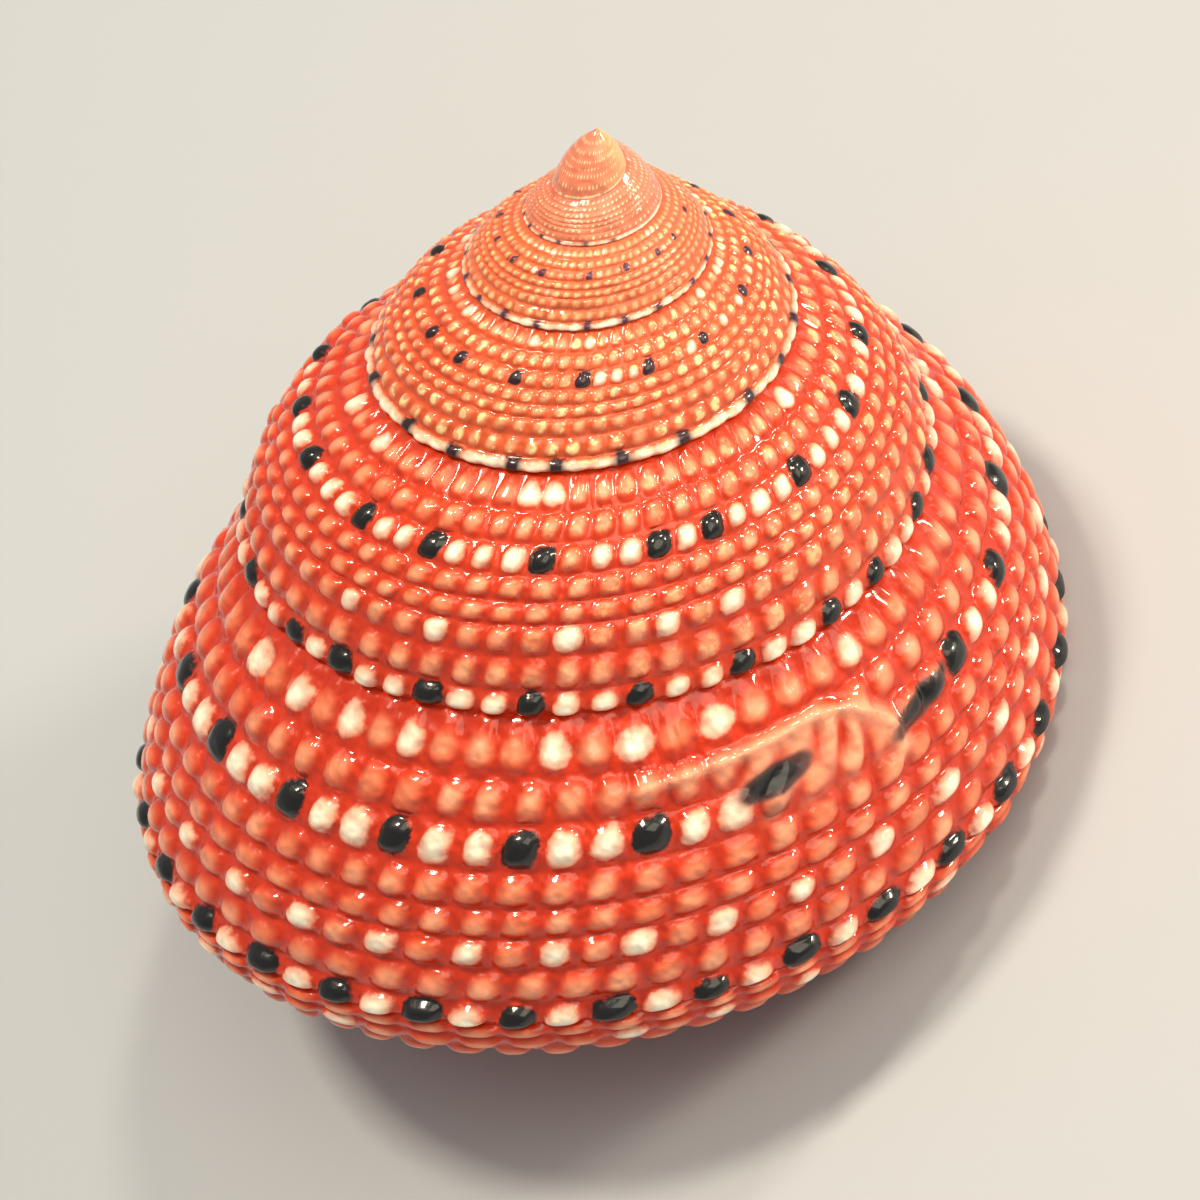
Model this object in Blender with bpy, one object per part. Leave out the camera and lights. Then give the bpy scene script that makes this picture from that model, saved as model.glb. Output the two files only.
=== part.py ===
"""Strawberry top shell: one solid spiral shell with beaded cords, an open mouth and a navel.

The shell is worked out about its own axis, tip up, in millimetres, and is then leant over
until it rests on its mouth. Turns are counted from the tip along the growth, which runs
clockwise when the shell is seen from above the tip. A step is the length of one bead.
"""

import math

import bmesh
import bpy
import numpy as np
from mathutils import Matrix

MM = 0.001

# Growth: turn, radius of the periphery and its depth below the tip, in mm
GROWTH = np.array(
    [
        (0.00, 0.00, 0.00),
        (0.60, 0.77, 1.00),
        (1.60, 1.33, 1.72),
        (2.60, 2.41, 2.85),
        (3.60, 4.18, 4.76),
        (4.10, 5.48, 6.35),
        (4.60, 6.98, 8.34),
        (4.85, 7.66, 9.50),
        (5.10, 8.24, 10.61),
        (5.35, 8.79, 11.80),
        (5.60, 9.55, 14.00),
        (5.85, 10.37, 16.20),
        (6.15, 11.05, 18.70),
    ]
)
FULL_RADIUS = 9.55  # radius of the whorl on which the sizes below are measured, in mm

# Growth in steps
STEPS_PER_TURN = 62
TIP_END = 132
SPIRE_END = 224
LAST_WHORL = 312
LIP = LAST_WHORL + STEPS_PER_TURN
# Steps by which the lip runs ahead at the suture, at the periphery and at the navel
LIP_LEAN = (6.0, 0.0, -9.0)

# Cords of the flank, from suture (0) to periphery (1), on the spire and on the last whorl
CORDS_SPIRE = np.array((0.08, 0.21, 0.36, 0.485, 0.59, 0.69, 0.86, 1.0))
CORDS_LAST = np.array((0.105, 0.256, 0.41, 0.556, 0.665, 0.765, 0.885, 1.0))
CORDS_SETTLE = (4.8, 5.8)  # turns over which one spacing passes into the other
BIG_CORDS = (0, 2, 7)
# Rows of the flank in each stretch of growth: an even row is a cord's crest and an odd one
# the groove below it. Each has its first and last step, its rows, and the spacing of points
# along crests and along grooves.
STRETCHES = (
    (0, TIP_END, (7, 14), 2, 2),
    (TIP_END, SPIRE_END, (1, 4, 7, 10, 13, 14), 2, 2),
    (SPIRE_END, LAST_WHORL, tuple(range(15)), 1, 2),
    (LAST_WHORL, LIP, tuple(range(15)), 0.5, 1),
)
# Cords of the base, from the first groove below the periphery (0) to the navel's rim (1)
BASE_CORDS = (0.02, 0.065, 0.13, 0.22, 0.32, 0.425, 0.53, 0.635, 0.74, 0.85)

# Relief on a full-sized whorl, in mm
GROOVE = 0.15
CLEFT = 0.09
BIG_BEAD = 0.06
RIM_BEAD = 0.16

# Swelling of a whorl's flank above its chord, as a share of the chord
SWELLING = np.array([(3.6, 0.09), (4.85, 0.125), (5.6, 0.075), (6.1, 0.05)])
# Lower edge of a whorl: arc below the periphery at some turns, and depth of the suture
EDGE_ARC = np.array([(4.7, 0.36), (5.05, 0.78), (5.1, 0.78), (5.35, 0.18)])
EDGE_DEPTH = 0.12

# Base: angles of its outline from plumb, inwards positive, and the radii of its two bends
BASE_ANGLES = np.radians((-12.0, 50.0, 85.0, 97.0))
BASE_BENDS = (1.33, 2.66)
NAVEL_RADIUS = 1.5
NAVEL_OPENS = 50  # steps over which the navel widens from a point on the axis

# Hollow: distance behind the lip in turns, and its width as a share of the whorl's
HOLLOW = (
    (0.003, 0.87),
    (0.015, 0.77),
    (0.035, 0.75),
    (0.07, 0.80),
    (0.12, 0.83),
    (0.18, 0.82),
    (0.24, 0.76),
    (0.28, 0.50),
)
HOLLOW_SIDES = 30
# Teeth inside the lip: height, and the stretch of the mouth's outline that bears them
TEETH = 0.03
TEETH_FROM, TEETH_TO = 0.05, 0.56
# Tooth at the foot of the inner lip: height, place on the outline and spread
INNER_TOOTH = 0.13
INNER_TOOTH_AT, INNER_TOOTH_SPREAD = 0.60, 0.035
TOOTHED_RINGS = (1, 2)

# Repaired break: its turns, the share of the flank that it covers, and its raised edge
BREAK_TURNS = (5.5, 5.545)
BREAK_FLANK = (0.2, 0.56)
BREAK_EDGE = 0.12

# Rest, mouth down: bearing towards which the tip leans and by how much, the turn that then
# brings the shell's back to the front, in degrees, and the depth to which the points that
# bear are worn flat, in mm
REST_BEARING = -95.2
REST_LEAN = 30.5
FRONT_TURN = 90.0
WORN = 0.25

SHELL_COLOUR = (0.62, 0.09, 0.03, 1.0)
SHELL_ROUGHNESS = 0.22
SHARP_ANGLE = math.radians(60)


def smooth(x, knots, values):
    """Cubic through the knots, with the slope at each knot taken from its neighbours."""
    slopes = np.gradient(values, knots)
    i = np.clip(np.searchsorted(knots, x, side="right") - 1, 0, len(knots) - 2)
    span = knots[i + 1] - knots[i]
    u = (x - knots[i]) / span
    start = (1 + 2 * u) * (1 - u) ** 2 * values[i] + u * (1 - u) ** 2 * span * slopes[i]
    end = u * u * (3 - 2 * u) * values[i + 1] + u * u * (u - 1) * span * slopes[i + 1]
    return start + end


def ease(x, low, high):
    """0 below low and 1 above high, with a smooth passage between them."""
    u = np.clip((x - low) / (high - low), 0, 1)
    return u * u * (3 - 2 * u)


def periphery(turn):
    """Radius and height of the periphery at a turn."""
    turns, radii, depths = GROWTH.T
    return smooth(turn, turns, radii), -smooth(turn, turns, depths)


def base_length():
    """Arc of a full-sized base, from the periphery to the navel's rim."""
    a0, a1, a2, _ = BASE_ANGLES
    b1, b2 = BASE_BENDS
    inwards = b1 * (math.cos(a0) - math.cos(a1)) + b2 * (math.cos(a1) - math.cos(a2))
    return b1 * (a1 - a0) + b2 * (a2 - a1) + FULL_RADIUS - NAVEL_RADIUS - inwards


def base(turn, arc, lift):
    """Radius and height of a point of the base, at an arc below the periphery.
    The outline is two bends and then a nearly level stretch, and lift stands out from it."""
    radius, height = periphery(turn)
    size = radius / FULL_RADIUS
    a0, a1, a2, a3 = BASE_ANGLES
    b1, b2 = BASE_BENDS
    arc1 = b1 * (a1 - a0)
    arc2 = arc1 + b2 * (a2 - a1)
    level = base_length() - arc2
    first = a0 + np.clip(arc, 0, arc1) / b1
    second = a1 + np.clip(arc - arc1, 0, arc2 - arc1) / b2
    way = np.clip(arc - arc2, 0, level)
    third = a2 + (a3 - a2) * way / level
    out = b1 * (np.cos(first) - math.cos(a0)) + b2 * (np.cos(second) - math.cos(a1))
    down = b1 * (np.sin(first) - math.sin(a0)) + b2 * (np.sin(second) - math.sin(a1))
    mean = (a2 + third) / 2
    out = out - way * np.sin(mean)
    down = down + way * np.cos(mean)
    angle = np.where(arc < arc1, first, np.where(arc < arc2, second, third))
    return radius + size * (out + lift * np.cos(angle)), height - size * (down + lift * np.sin(angle))


def edge_arc(turn):
    """Arc of a whorl's lower edge below the periphery."""
    turns, arcs = EDGE_ARC.T
    return np.interp(turn, turns, arcs)


def lower_edge(turn):
    """Edge at which a whorl meets the next one."""
    return base(turn, edge_arc(turn), -EDGE_DEPTH)


def base_place(turn, way, lift):
    """Point of the base: way is 0 at the lower edge and 1 at the navel's rim."""
    start = edge_arc(turn)
    return base(turn, start + way * (base_length() - start), lift)


def flank(turn, share, lift):
    """Radius and height of a point of the flank, at a share of the way from the suture to the
    periphery. The outline is a parabola over their chord, and lift stands out from it."""
    r0, z0 = lower_edge(np.maximum(turn - 1, 0.0))
    r1, z1 = periphery(turn)
    dr, dz = r1 - r0, z1 - z0
    chord = np.maximum(np.hypot(dr, dz), 1e-9)
    swelling = np.interp(turn, *SWELLING.T)
    out = 4 * share * (1 - share) * swelling * chord + lift * r1 / FULL_RADIUS
    return r0 + share * dr - out * dz / chord, z0 + share * dz + out * dr / chord


def navel_rim(step, lift):
    """Rim of the navel, which widens from a point on the axis one turn before the last."""
    radius, height = base_place(step / STEPS_PER_TURN, 1.0, lift)
    first = LAST_WHORL + LIP_LEAN[2] - STEPS_PER_TURN
    return radius * ease(step, first, first + NAVEL_OPENS), height


def row_share(row, turn):
    """Share of the flank at which a crest or groove row runs."""
    last = ease(turn, *CORDS_SETTLE)
    cords = [(1 - last) * a + last * b for a, b in zip(CORDS_SPIRE, CORDS_LAST)]
    return cords[row // 2] if row % 2 == 0 else (cords[row // 2] + cords[row // 2 + 1]) / 2


def broken(turn, share):
    """1 inside the repaired break and 0 outside it."""
    start, end = BREAK_TURNS
    low, high = BREAK_FLANK
    along = ease(turn, start - 0.01, start) * (1 - ease(turn, end, end + 0.02))
    return along * ease(share, low - 0.06, low) * (1 - ease(share, high, high + 0.06))


def row_lift(row, steps, share):
    """Relief along a row: grooves lie deep, and every other point of a crest is a bead's top."""
    turn = steps / STEPS_PER_TURN
    whole = 1 - broken(turn, share)
    if row % 2:
        return -GROOVE * whole
    top = np.arange(len(steps)) % 2
    big = BIG_BEAD if row // 2 in BIG_CORDS else 0.0
    edge = BREAK_EDGE * (1 - whole) * (row // 2 < 2)
    return (big * top - CLEFT * (1 - top)) * whole + edge


def lean(way):
    """Steps by which the lip leads: way is 0 at the suture, 1 at the periphery, 2 at the navel."""
    return float(np.interp(way, (0, 1, 2), LIP_LEAN))


class Surface:
    """Points and triangles of the shell, gathered row by row. A row is a list of (step, point)."""

    def __init__(self):
        self.points = []
        self.faces = []

    def add(self, steps, radius, height):
        """A new row through the given places."""
        bearing = -2 * math.pi * (steps - LIP) / STEPS_PER_TURN
        first = len(self.points)
        x, y = radius * np.cos(bearing), radius * np.sin(bearing)
        self.points.extend(zip(x.tolist(), y.tolist(), height.tolist()))
        return list(zip(steps.tolist(), range(first, len(self.points))))

    def zip_up(self, upper, lower):
        """Fill the strip between two rows with triangles, always taking the nearer next step."""
        i = j = 0
        while i < len(upper) - 1 or j < len(lower) - 1:
            ahead = i < len(upper) - 1 and (j == len(lower) - 1 or upper[i + 1][0] <= lower[j + 1][0])
            new = upper[i + 1][1] if ahead else lower[j + 1][1]
            face = (upper[i][1], lower[j][1], new)
            if len(set(face)) == 3:
                self.faces.append(face)
            i, j = (i + 1, j) if ahead else (i, j + 1)


def stretch_of(row, first, last):
    """The part of a row from one step to another, both included."""
    return [(step, point) for step, point in row if first <= step <= last]


def shifted(row, steps):
    """A row counted from another turn."""
    return [(step + steps, point) for step, point in row]


def flank_rows(surface, tip):
    """The rows of each stretch of growth. A row that runs on starts from its old last point."""
    stretches = []
    before = {row: [(0, tip)] for row in STRETCHES[0][2]}
    for first, last, rows, crest_step, groove_step in STRETCHES:
        made = {}
        for row in rows:
            end = last + (lean(row_share(row, last / STEPS_PER_TURN)) if last == LIP else 0)
            count = round((last - first) / (groove_step if row % 2 else crest_step))
            steps = np.linspace(first, end, count + 1)
            share = row_share(row, steps / STEPS_PER_TURN)
            radius, height = flank(steps / STEPS_PER_TURN, share, row_lift(row, steps, share))
            old = before.get(row, [])[-1:]
            new = len(old)
            made[row] = old + surface.add(steps[new:], radius[new:], height[new:])
        stretches.append((first, last, made))
        before = made
    return stretches


def fill_flanks(surface, edge, stretches):
    """Fill between the suture, the rows and the lower edge of each stretch of growth. Points
    of rows that start at its end are taken in from below, so that no edge is left open."""
    coming = [made for _, _, made in stretches[1:]] + [{}]
    for (first, last, made), after in zip(stretches, coming):
        suture = shifted(edge, STEPS_PER_TURN)
        start = [edge[0]] if first == 0 else []
        top = start + stretch_of(suture, first, last + (LIP_LEAN[0] if last == LIP else 0))
        keys = [-1] + list(made) + [2 * len(CORDS_LAST)]
        strips = [top] + list(made.values()) + [stretch_of(edge, first, last)]
        for k, (upper, lower) in enumerate(zip(strips[:-1], strips[1:])):
            inside = [after[key][0][1] for key in after if keys[k] < key < keys[k + 1]]
            if inside:
                column = [lower[-1][1]] + inside[::-1]
                places = np.linspace(last - 0.5, last, len(column), endpoint=False)
                lower = lower[:-1] + list(zip(places.tolist(), column))
            surface.zip_up(upper, lower)


def base_rows(surface):
    """Crest and groove rows of the base over the last turn."""
    ways = [BASE_CORDS[0]]
    for outer, inner in zip(BASE_CORDS[:-1], BASE_CORDS[1:]):
        ways += [(outer + inner) / 2, inner]
    ways.append((BASE_CORDS[-1] + 1) / 2)
    rows = []
    for number, way in enumerate(ways):
        first = LAST_WHORL + LIP_LEAN[0] + (LIP_LEAN[2] - LIP_LEAN[0]) * way
        last = LIP + lean(1 + way)
        crest = number % 2 == 0
        count = STEPS_PER_TURN if crest else STEPS_PER_TURN // 2
        steps = np.linspace(first, last, count + 1)
        top = np.arange(count + 1) % 2
        lift = -CLEFT * (1 - top) if crest else np.full(count + 1, -GROOVE)
        rows.append(surface.add(steps, *base_place(steps / STEPS_PER_TURN, way, lift)))
    return rows


def rim_row(surface):
    """Row along the navel's rim, from the point on the axis to the lip, beaded on the last turn."""
    last = LIP + LIP_LEAN[2]
    steps = np.arange(last - 2 * STEPS_PER_TURN, last + 1, 2)
    top = np.where(steps >= last - STEPS_PER_TURN, np.arange(len(steps)) % 2, 0)
    return surface.add(steps, *navel_rim(steps, RIM_BEAD * top))


def mouth_outline(surface, edge, flank_ends, base, rim):
    """Closed outline of the mouth: down the lip, across the base, up the navel's wall and
    back under the whorl before. Gives the points' numbers."""
    old = LAST_WHORL + LIP_LEAN[0]
    start = [point for step, point in edge if step == old]
    inner = [point for step, point in rim if step == LIP + LIP_LEAN[2] - STEPS_PER_TURN]
    lip = [row[-1][1] for row in flank_ends] + [edge[-1][1]] + [row[-1][1] for row in base]
    return start + lip + [rim[-1][1]] + inner + [row[0][1] for row in reversed(base)]


def outline_behind(back):
    """The whorl's outline some turns behind the lip, in the order of mouth_outline: arrays of
    step, radius and height. The relief is left out."""
    ways = np.linspace(0, 1, 12)
    steps = [LIP + np.array([lean(way) for way in ways])]
    steps.append(LIP + np.array([lean(1 + way) for way in ways[1:]]))
    steps.append(LAST_WHORL + LIP_LEAN[0] + (LIP_LEAN[2] - LIP_LEAN[0]) * ways[:0:-1])
    steps = [part - back * STEPS_PER_TURN for part in steps]
    turns = [part / STEPS_PER_TURN for part in steps]
    flank_part = flank(turns[0], ways, 0.0)
    base_part = base_place(turns[1], ways[1:], 0.0)
    old_part = base_place(turns[2], ways[:0:-1], 0.0)
    radius, height = (np.concatenate(part) for part in zip(flank_part, base_part, old_part))
    return np.concatenate(steps), radius, height


def resampled(outline, count):
    """Points at even distances round a closed outline of (step, radius, height)."""
    step, radius, height = (np.append(part, part[0]) for part in outline)
    length = np.append(0, np.cumsum(np.hypot(np.diff(radius), np.diff(height))))
    places = np.arange(count) / count * length[-1]
    return [np.interp(places, length, part) for part in (step, radius, height)]


def around(row):
    """A closed row of points numbered from 0 to 1, with its first point again at the end."""
    return [(k / len(row), point) for k, point in enumerate(row)] + [(1.0, row[0])]


def round_by_length(surface, points):
    """A closed row of points whose steps are their shares of the outline's length."""
    places = np.array([surface.points[point] for point in points + points[:1]])
    length = np.append(0, np.cumsum(np.linalg.norm(np.diff(places, axis=0), axis=1)))
    return list(zip((length / length[-1]).tolist(), points + points[:1]))


def hollow(surface, mouth):
    """Line the hollow: rings inside the whorl's outline, back from the lip to a closed end."""
    outer = round_by_length(surface, mouth)
    side = np.arange(HOLLOW_SIDES) / HOLLOW_SIDES
    toothed = (side > TEETH_FROM) & (side < TEETH_TO)
    inner_tooth = INNER_TOOTH * np.exp(-(((side - INNER_TOOTH_AT) / INNER_TOOTH_SPREAD) ** 2))
    for number, (back, width) in enumerate(HOLLOW):
        step, radius, height = resampled(outline_behind(back), HOLLOW_SIDES)
        share = np.full(HOLLOW_SIDES, width)
        if number in TOOTHED_RINGS:
            share -= inner_tooth + TEETH * toothed * (np.arange(HOLLOW_SIDES) % 2)
        radius = radius.mean() + share * (radius - radius.mean())
        height = height.mean() + share * (height - height.mean())
        ring = around([point for _, point in surface.add(step, radius, height)])
        surface.zip_up(outer, ring)
        outer = ring
    end = surface.add(step.mean(keepdims=True), radius.mean(keepdims=True), height.mean(keepdims=True))
    surface.zip_up(outer, end)


def shell_surface():
    """All the points and triangles of the shell, in mm about its own axis."""
    surface = Surface()
    tip = surface.add(np.zeros(1), np.zeros(1), np.zeros(1))[0][1]
    steps = np.concatenate((np.arange(2, LAST_WHORL, 2), np.arange(LAST_WHORL, LIP + 1)))
    edge = [(0, tip)] + surface.add(steps, *lower_edge(steps / STEPS_PER_TURN))
    stretches = flank_rows(surface, tip)
    fill_flanks(surface, edge, stretches)

    base_part = base_rows(surface)
    rim = rim_row(surface)
    strips = [stretch_of(edge, LAST_WHORL + LIP_LEAN[0], LIP)] + base_part
    turn_ago = LIP + LIP_LEAN[2] - STEPS_PER_TURN
    strips.append(stretch_of(rim, turn_ago, LIP))
    for upper, lower in zip(strips[:-1], strips[1:]):
        surface.zip_up(upper, lower)
    old_rim = stretch_of(rim, 0, turn_ago)
    surface.zip_up(strips[-1], shifted(old_rim, STEPS_PER_TURN))
    surface.zip_up(old_rim[1:], old_rim[:1])

    mouth = mouth_outline(surface, edge, stretches[-1][2].values(), base_part, rim)
    hollow(surface, mouth)
    return surface


def rotation(degrees, axis):
    return np.array(Matrix.Rotation(math.radians(degrees), 3, axis))


def at_rest(points):
    """Points leant over on to the mouth, set down on the origin, and worn flat underneath."""
    leant = rotation(REST_BEARING, "Z") @ rotation(REST_LEAN, "Y") @ rotation(-REST_BEARING, "Z")
    points = points @ (rotation(FRONT_TURN, "Z") @ leant).T
    points[:, 2] = np.maximum(points[:, 2], points[:, 2].min() + WORN)
    low, high = points.min(axis=0), points.max(axis=0)
    return points - np.array(((low[0] + high[0]) / 2, (low[1] + high[1]) / 2, low[2]))


def shell_material():
    material = bpy.data.materials.new("shell")
    material.use_nodes = True
    shader = material.node_tree.nodes["Principled BSDF"]
    shader.inputs["Base Color"].default_value = SHELL_COLOUR
    shader.inputs["Roughness"].default_value = SHELL_ROUGHNESS
    shader.inputs["Metallic"].default_value = 0.0
    return material


def build_shell():
    surface = shell_surface()
    mesh = bpy.data.meshes.new("shell")
    mesh.from_pydata((at_rest(np.array(surface.points)) * MM).tolist(), [], surface.faces)
    shaped = bmesh.new()
    shaped.from_mesh(mesh)
    bmesh.ops.recalc_face_normals(shaped, faces=shaped.faces)
    shaped.to_mesh(mesh)
    shaped.free()
    mesh.shade_smooth()
    mesh.set_sharp_from_angle(angle=SHARP_ANGLE)
    mesh.materials.append(shell_material())
    shell = bpy.data.objects.new("shell", mesh)
    bpy.context.scene.collection.objects.link(shell)
    return shell


def main():
    for thing in list(bpy.data.objects):
        bpy.data.objects.remove(thing)
    build_shell()


main()
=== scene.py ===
import math

import bpy
import numpy as np
from bpy.props import FloatProperty, FloatVectorProperty, PointerProperty
from mathutils import Matrix, Vector


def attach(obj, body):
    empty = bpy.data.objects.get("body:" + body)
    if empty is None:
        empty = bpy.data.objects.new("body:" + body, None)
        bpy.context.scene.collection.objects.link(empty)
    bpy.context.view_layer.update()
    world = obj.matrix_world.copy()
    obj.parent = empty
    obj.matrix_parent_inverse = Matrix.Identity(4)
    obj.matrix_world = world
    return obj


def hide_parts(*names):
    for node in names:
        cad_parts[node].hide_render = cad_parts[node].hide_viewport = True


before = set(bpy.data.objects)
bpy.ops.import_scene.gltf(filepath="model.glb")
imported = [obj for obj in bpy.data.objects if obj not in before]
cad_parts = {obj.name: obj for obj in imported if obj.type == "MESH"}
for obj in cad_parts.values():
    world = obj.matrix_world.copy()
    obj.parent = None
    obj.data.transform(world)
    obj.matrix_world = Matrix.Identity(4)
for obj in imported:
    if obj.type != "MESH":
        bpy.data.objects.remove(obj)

bl_info = {
    "name": "Strawberry top shell",
    "version": (1, 0, 0),
    "blender": (4, 5, 0),
    "location": "3D View > Sidebar > Shell",
    "description": "Builds a beaded top shell with its colours, a floor, lights and a camera",
    "category": "Add Mesh",
}

MM = 0.001

# Growth: turn, radius of the periphery and its depth below the tip, in mm
GROWTH = np.array(
    [
        (0.00, 0.00, 0.00),
        (0.60, 0.77, 1.00),
        (1.60, 1.33, 1.72),
        (2.60, 2.41, 2.85),
        (3.60, 4.18, 4.76),
        (4.10, 5.48, 6.35),
        (4.60, 6.98, 8.34),
        (4.85, 7.66, 9.50),
        (5.10, 8.24, 10.61),
        (5.35, 8.79, 11.80),
        (5.60, 9.55, 14.00),
        (5.85, 10.37, 16.20),
        (6.15, 11.05, 18.70),
    ]
)
FULL_RADIUS = 9.55  # radius of the whorl on which the sizes below are measured, in mm

# Growth in beads
BEADS_PER_TURN = 62
LAST_WHORL = 312
LIP = LAST_WHORL + BEADS_PER_TURN
LIP_LEAN = (6.0, 0.0, -9.0)  # beads by which the lip leads at the suture, periphery and navel

# Crests of the flank's cords, from suture (0) to periphery (1), on the spire and the last whorl
CORDS_SPIRE = (0.08, 0.21, 0.36, 0.485, 0.59, 0.69, 0.86, 1.0)
CORDS_LAST = (0.105, 0.256, 0.41, 0.556, 0.665, 0.765, 0.885, 1.0)
CORDS_SETTLE = (4.8, 5.8)
# Crests of the base's cords, from the lower edge of the flank (0) to the navel's rim (1)
BASE_CORDS = (0.02, 0.065, 0.13, 0.22, 0.32, 0.425, 0.53, 0.635, 0.74, 0.85, 1.0)
FLANK_CORDS = len(CORDS_LAST)
CORDS = FLANK_CORDS + len(BASE_CORDS)
RIM = CORDS - 0.5  # cord coordinate of the navel's rim

# Swelling of a whorl's flank above its chord, as a share of the chord
SWELLING = np.array([(3.6, 0.09), (4.85, 0.125), (5.6, 0.075), (6.1, 0.05)])
# Lower edge of a whorl: arc below the periphery, in mm on a full-sized whorl
EDGE_ARC = np.array([(4.7, 0.36), (5.05, 0.78), (5.1, 0.78), (5.35, 0.18)])

BASE_ANGLES = np.radians((-12.0, 50.0, 85.0, 97.0))
BASE_BENDS = (1.33, 2.66)
NAVEL_RADIUS = 1.5
NAVEL_OPENS = 50

# Rest, as the solid lies, in degrees
REST_BEARING = -95.2
REST_LEAN = 30.5
FRONT_TURN = 90.0

# Hollow: distance behind the lip in turns, and its width as a share of the whorl's
HOLLOW = np.array(
    [
        (0.0, 1.0),
        (0.0008, 0.97),
        (0.002, 0.92),
        (0.004, 0.86),
        (0.009, 0.80),
        (0.015, 0.77),
        (0.035, 0.75),
        (0.07, 0.80),
        (0.12, 0.83),
        (0.18, 0.82),
        (0.24, 0.76),
        (0.28, 0.50),
        (0.29, 0.0),
    ]
)
HOLLOW_ROWS = 8  # rows of points from each place in the list above to the next
# Ridges inside the outer lip: their number, their height as a share of the hollow's width, the
# share of the mouth's outline that they divide, and where on it they rise and fade
TEETH, TEETH_HEIGHT, TEETH_SPAN = 19, 0.035, 0.54
TEETH_RISE, TEETH_FADE = (0.02, 0.06), (0.50, 0.56)
# The inner lip's tooth, on the column, and the small folds beside it
TOOTH_AT, TOOTH_SPREAD, TOOTH_HEIGHT = 0.47, 0.13, 0.16
FOLD_HEIGHT, FOLD_WAVES = 0.03, 26
# Navel: points down its wall and along its ceiling, and the bulge of its wall, in mm and at
# most as a share of its radius
COLUMN_POINTS, CEILING_POINTS = 24, 8
NAVEL_BULGE, NAVEL_BULGE_SHARE = 0.35, 0.3
RIM_JOIN = 8  # beads over which the plain rim passes into the beaded one

# Height that a cord's beads add on a full-sized whorl, in mm, from the suture to the rim
BEAD_RISE = (
    0.15, 0.15, 0.20, 0.15, 0.13, 0.16, 0.14, 0.20,
    0.11, 0.12, 0.14, 0.14, 0.15, 0.14, 0.14, 0.13, 0.13, 0.12, 0.30,
)
BEAD_DENSITY = np.array((1.0,) * 13 + (0.75,) * 3 + (0.6,) * 3)  # each cord's beads, as a share
RISE_LEAST, RISE_VARIES = 0.72, 0.43  # share of that height which every bead has, and its spread
# A bead's outline, as shares of its place: width, height, how much each varies, its slant, and
# the power that makes it squarer or rounder
BEAD_WIDTH, WIDTH_VARIES = 0.90, 0.13
BEAD_HEIGHT, HEIGHT_VARIES = 0.96, 0.11
BEAD_SLANT = 0.12
BEAD_POWER, POWER_VARIES = 2.2, 0.8
RIDGE_POWER = 2.5  # of a cord's ridge across
DOME_POWERS = (2.8, 0.75)  # of a bead's dome
SIZE_POWER = 0.85  # by which relief grows with the whorl
THREAD = 0.06  # height of the growth threads next to the suture, in mm
SEED = 11

# Black beads of the shouldered cord and of the periphery, read from the photograph: the
# spire's one by one, and the last whorl's as a rhythm
SHOULDER, PERIPHERY, SPOTTED = 2, 7, 5
BLACK_SHOULDER = (
    147, 152, 155, 159, 163, 168, 204, 208, 212, 217, 221, 225, 229, 233, 236, 240,
    266, 270, 274, 278, 282, 284, 288, 292, 295, 299, 302, *range(305, 339, 3), *range(344, 390, 3),
)
BLACK_PERIPHERY = (
    98, 102, 106, 153, 157, 160, 163, 167, 170, 173, 207, 210, 213, 216, 220, 223, 226, 228,
    231, 234, 238, 241, 272, 274, 277, 279, 282, 285, 288, 291, 294, 296, 299, *range(302, 390, 2),
)
PALE_FROM = 262  # bead after which the shouldered and spotted cords have many pale beads
SHOWN = ((262, 304), (330, 364))  # stretches of beads whose pale ones are listed below
# Pale beads next to the suture and on the spotted cord
PALE_FIRST = (276, 288, 289, 297, 300, 341, 345, 347, 349, 353, 355, 357, 359)
PALE_SPOTTED = (282, 284, 287, 291, 294, *range(319, 390, 2))

# Repaired break: its edge as beads and shares of the flank, from the right side up and over
BREAK_EDGE = (
    (341.2, 0.60), (340.6, 0.50), (340.5, 0.42), (340.9, 0.325), (341.6, 0.24), (342.6, 0.20),
    (344.4, 0.215), (347.5, 0.25),
)
BREAK_PEAK = 5  # place in the list above of the edge's highest point
BREAK_RIM, BREAK_FOLDS = 0.17, 0.095  # heights of its raised edge and of its folds, in mm
BREAK_SOFT = (0.8, 0.055)  # unit of the way in from its edge: beads, and share of the flank
BREAK_BEADS = slice(339, 345)  # beads of the shouldered cord that it covers
# Smeared black marks beside the break: bead, share of the flank, half length and half height
BREAK_MARKS = ((344.0, 0.345, 0.95, 0.05), (339.6, 0.41, 1.05, 0.05))


def smooth(x, knots, values):
    """Cubic through the knots, with the slope at each knot taken from its neighbours."""
    slopes = np.gradient(values, knots)
    i = np.clip(np.searchsorted(knots, x, side="right") - 1, 0, len(knots) - 2)
    span = knots[i + 1] - knots[i]
    u = (x - knots[i]) / span
    start = (1 + 2 * u) * (1 - u) ** 2 * values[i] + u * (1 - u) ** 2 * span * slopes[i]
    end = u * u * (3 - 2 * u) * values[i + 1] + u * u * (u - 1) * span * slopes[i + 1]
    return start + end


def ease(x, low, high):
    """0 below low and 1 above high, with a smooth passage between them."""
    u = np.clip((x - low) / (high - low), 0, 1)
    return u * u * (3 - 2 * u)


def periphery(turn):
    """Radius and height of the periphery at a turn."""
    turns, radii, depths = GROWTH.T
    return smooth(turn, turns, radii), -smooth(turn, turns, depths)


def base_length():
    """Arc of a full-sized base, from the periphery to the navel's rim."""
    a0, a1, a2, _ = BASE_ANGLES
    b1, b2 = BASE_BENDS
    inwards = b1 * (math.cos(a0) - math.cos(a1)) + b2 * (math.cos(a1) - math.cos(a2))
    return b1 * (a1 - a0) + b2 * (a2 - a1) + FULL_RADIUS - NAVEL_RADIUS - inwards


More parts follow.
